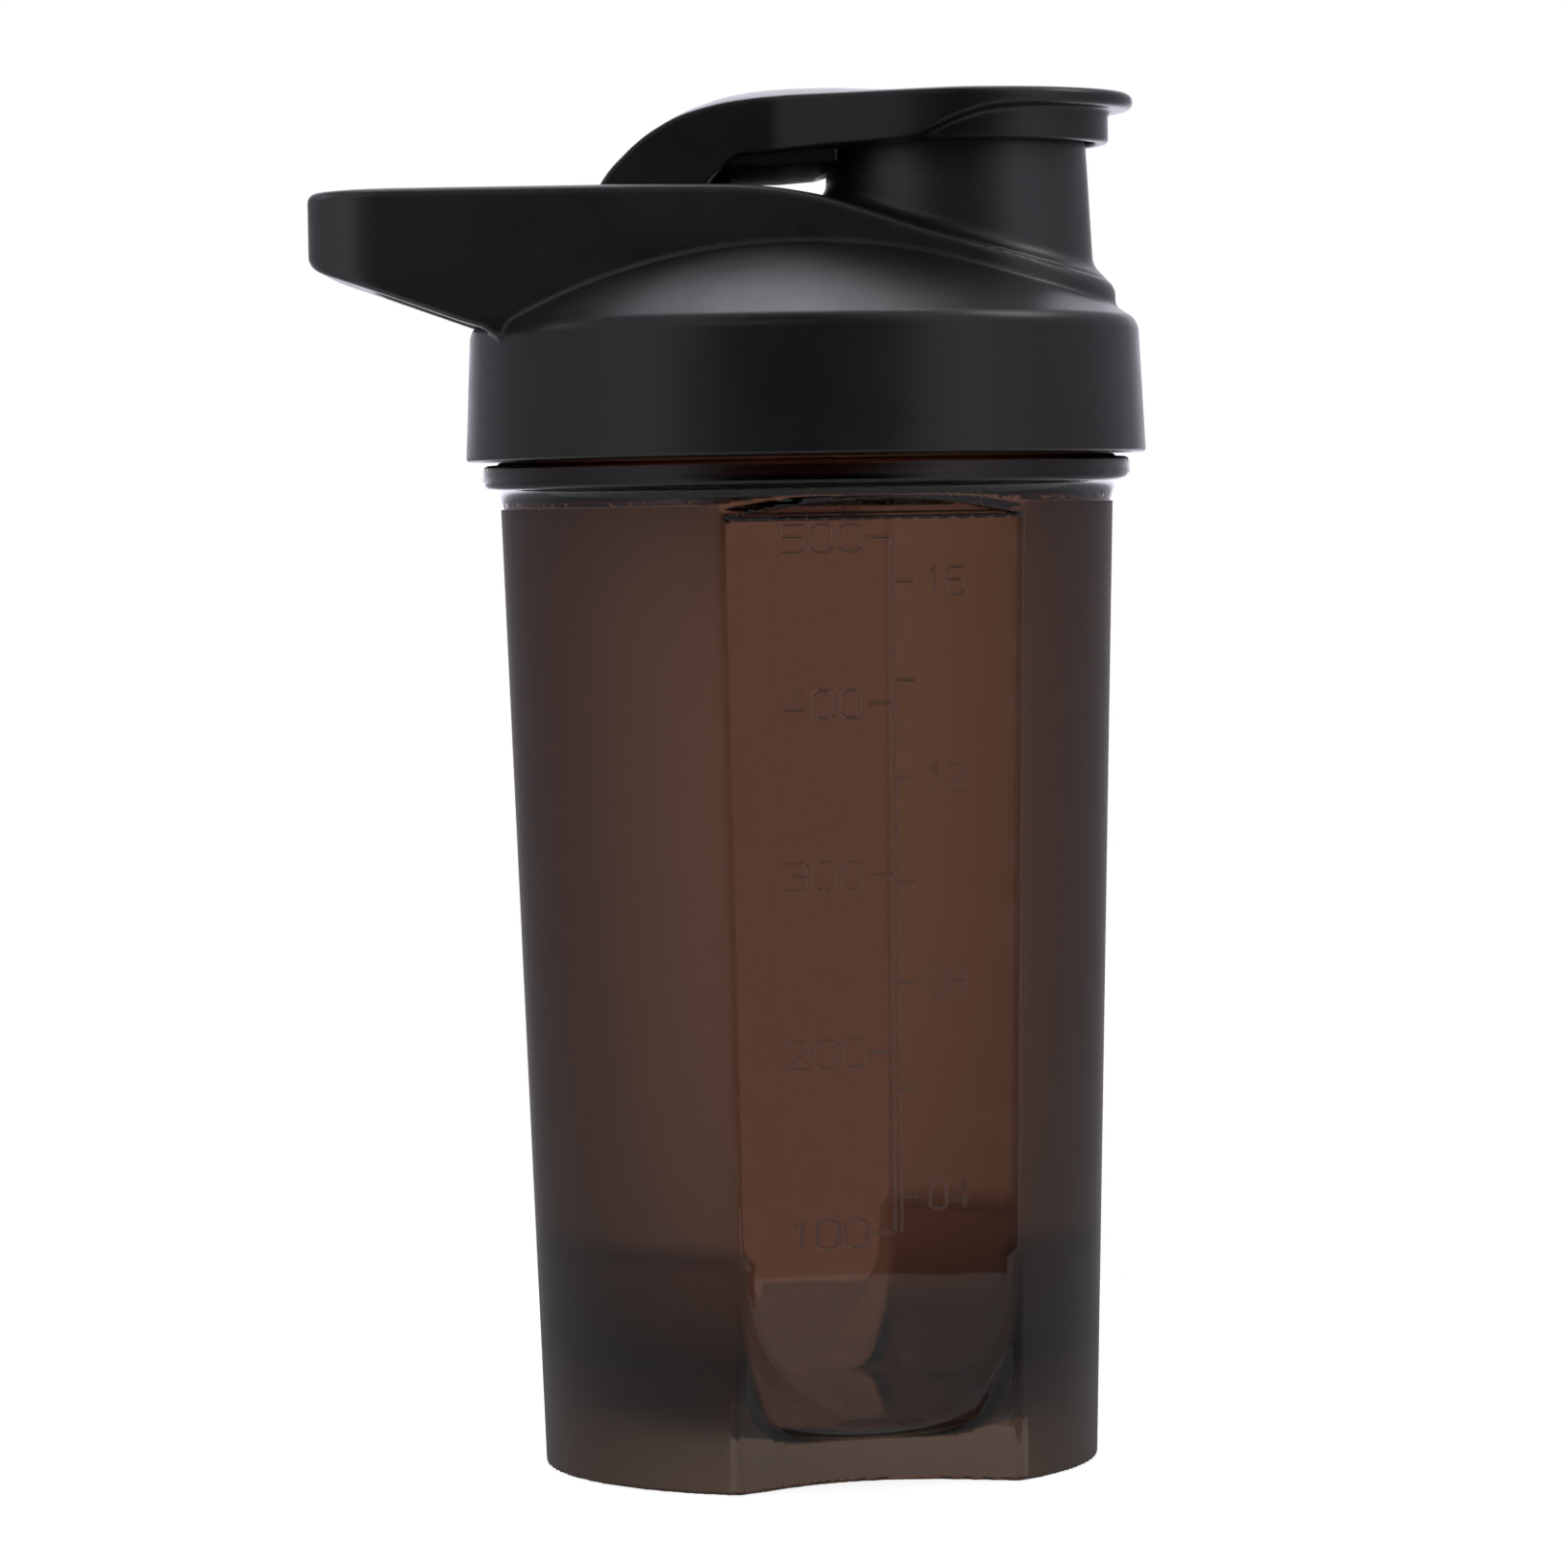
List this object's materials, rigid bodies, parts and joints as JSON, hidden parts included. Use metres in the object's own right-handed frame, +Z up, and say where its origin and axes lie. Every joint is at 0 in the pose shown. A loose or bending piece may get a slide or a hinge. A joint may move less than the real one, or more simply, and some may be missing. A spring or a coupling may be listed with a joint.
{
  "type": "protein shaker bottle",
  "caption": "Tapered translucent shaker cup with flat measuring windows, a screw lid with a finger loop and spout, and a flip cap that snaps over the spout.",
  "frame": {"origin": "on the cup's axis, on the plane that the skirt stands on", "axes": "+Z up the cup's axis, +X from the carry loop towards the spout; the lid is symmetric about the XZ plane"},
  "size_m": [0.112, 0.092, 0.1855],
  "materials": {
    "smoke_plastic": "translucent smoke brown, polished on the two windows and satin elsewhere",
    "black_plastic": "black satin with a fine moulded grain",
    "silicone": "grey matt silicone",
    "grid_plastic": "black satin",
    "pin_steel": "drawn stainless rod"
  },
  "bodies": {
    "cup": {"cup": "smoke_plastic"},
    "lid_gasket": {"lid_gasket": "silicone"},
    "lid": {"lid": "black_plastic", "mixer_grid": "grid_plastic"},
    "flip_cap": {"flip_cap": "black_plastic", "hinge_pin": "pin_steel", "spout_seal": "silicone"}
  },
  "joints": [
    {"name": "lid_rise", "type": "slide", "parent": "cup", "child": "lid_gasket", "axis": [0, 0, 1], "range_m": [0, 0.0101]},
    {"name": "lid_turn", "type": "hinge", "parent": "lid_gasket", "child": "lid", "pos_m": [0, 0, 0.15], "axis": [0, 0, 1], "range_deg": [0, 720]},
    {"name": "cap_flip", "type": "hinge", "parent": "lid", "child": "flip_cap", "pos_m": [-0.02, 0, 0.1694], "axis": [0, -1, 0], "range_deg": [0, 125]}
  ],
  "couplings": [
    {"joint": "lid_rise", "follows": "lid_turn", "m_per_rad": 0.00079577}
  ]
}
